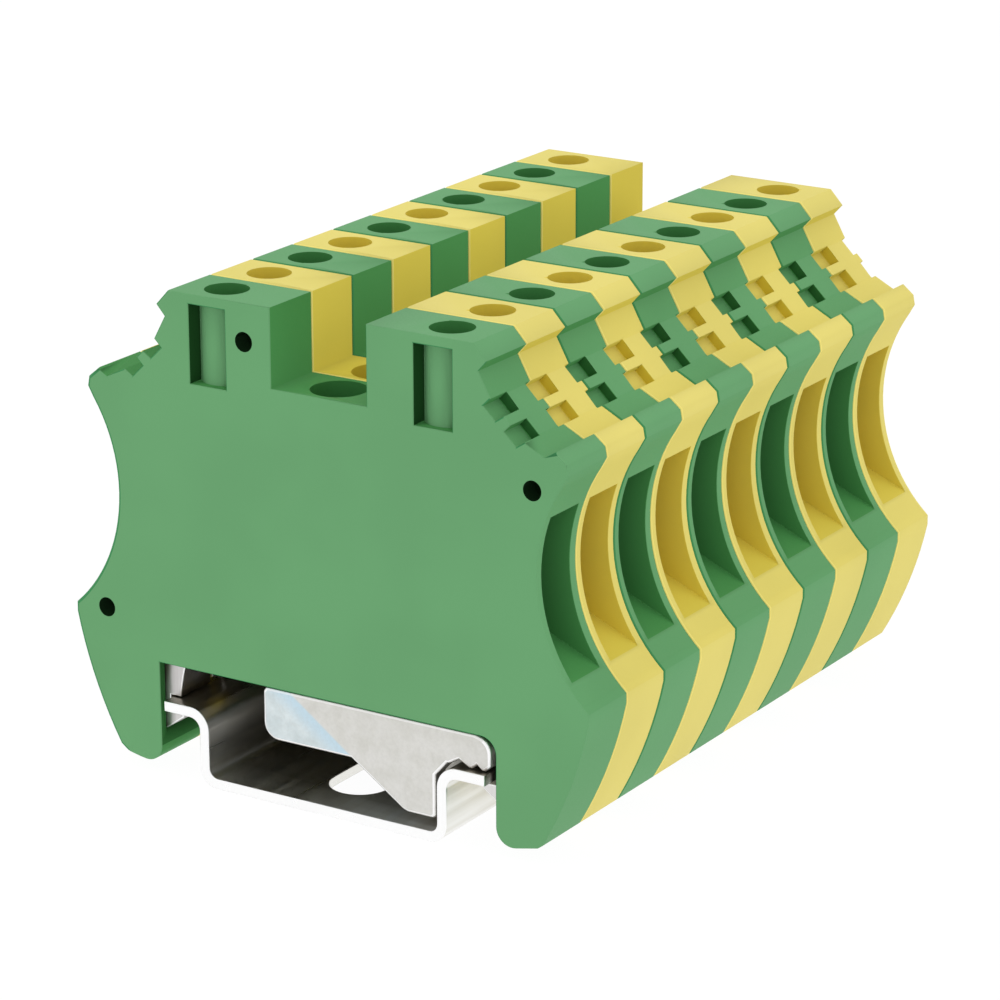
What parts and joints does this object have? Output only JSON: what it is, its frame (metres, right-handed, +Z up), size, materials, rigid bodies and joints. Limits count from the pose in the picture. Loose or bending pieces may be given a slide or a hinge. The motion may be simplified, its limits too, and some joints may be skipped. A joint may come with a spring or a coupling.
{
  "type": "earth terminal block",
  "caption": "Stack of screw clamp earth terminals, green and yellow in turn, whose steel feet grip a short length of slotted top hat rail.",
  "frame": {"origin": "on the underside of the rail, on its centre line, in the plane of the first slice's front face", "axes": "+X across the rail to the right, +Y back along the rail, +Z up from the rail"},
  "size_m": [0.0558, 0.0671, 0.0468],
  "materials": {
    "green_plastic": "satin moulded polyamide",
    "yellow_plastic": "satin moulded polyamide",
    "rail_steel": "zinc plated and passivated",
    "jaw_steel": "hot dip galvanised, mottled",
    "foot_steel": "galvanised, drawn",
    "cage_steel": "zinc plated",
    "screw_steel": "zinc plated",
    "copper": "drawn copper"
  },
  "bodies": {
    "root": {"rail": "rail_steel", "housing_01": "green_plastic", "current_bar_01": "copper", "clamp_cages_01": "cage_steel", "foot_plate_01": "foot_steel", "foot_jaw_01": "jaw_steel", "housing_02": "yellow_plastic", "current_bar_02": "copper", "clamp_cages_02": "cage_steel", "foot_plate_02": "foot_steel", "foot_jaw_02": "jaw_steel", "housing_03": "green_plastic", "current_bar_03": "copper", "clamp_cages_03": "cage_steel", "foot_plate_03": "foot_steel", "foot_jaw_03": "jaw_steel", "housing_04": "yellow_plastic", "current_bar_04": "copper", "clamp_cages_04": "cage_steel", "foot_plate_04": "foot_steel", "foot_jaw_04": "jaw_steel", "housing_05": "green_plastic", "current_bar_05": "copper", "clamp_cages_05": "cage_steel", "foot_plate_05": "foot_steel", "foot_jaw_05": "jaw_steel", "housing_06": "yellow_plastic", "current_bar_06": "copper", "clamp_cages_06": "cage_steel", "foot_plate_06": "foot_steel", "foot_jaw_06": "jaw_steel", "housing_07": "green_plastic", "current_bar_07": "copper", "clamp_cages_07": "cage_steel", "foot_plate_07": "foot_steel", "foot_jaw_07": "jaw_steel", "housing_08": "yellow_plastic", "current_bar_08": "copper", "clamp_cages_08": "cage_steel", "foot_plate_08": "foot_steel", "foot_jaw_08": "jaw_steel", "housing_09": "green_plastic", "current_bar_09": "copper", "clamp_cages_09": "cage_steel", "foot_plate_09": "foot_steel", "foot_jaw_09": "jaw_steel", "housing_10": "yellow_plastic", "current_bar_10": "copper", "clamp_cages_10": "cage_steel", "foot_plate_10": "foot_steel", "foot_jaw_10": "jaw_steel", "clamp_screws": "screw_steel", "foot_screws": "screw_steel"}
  },
  "joints": []
}
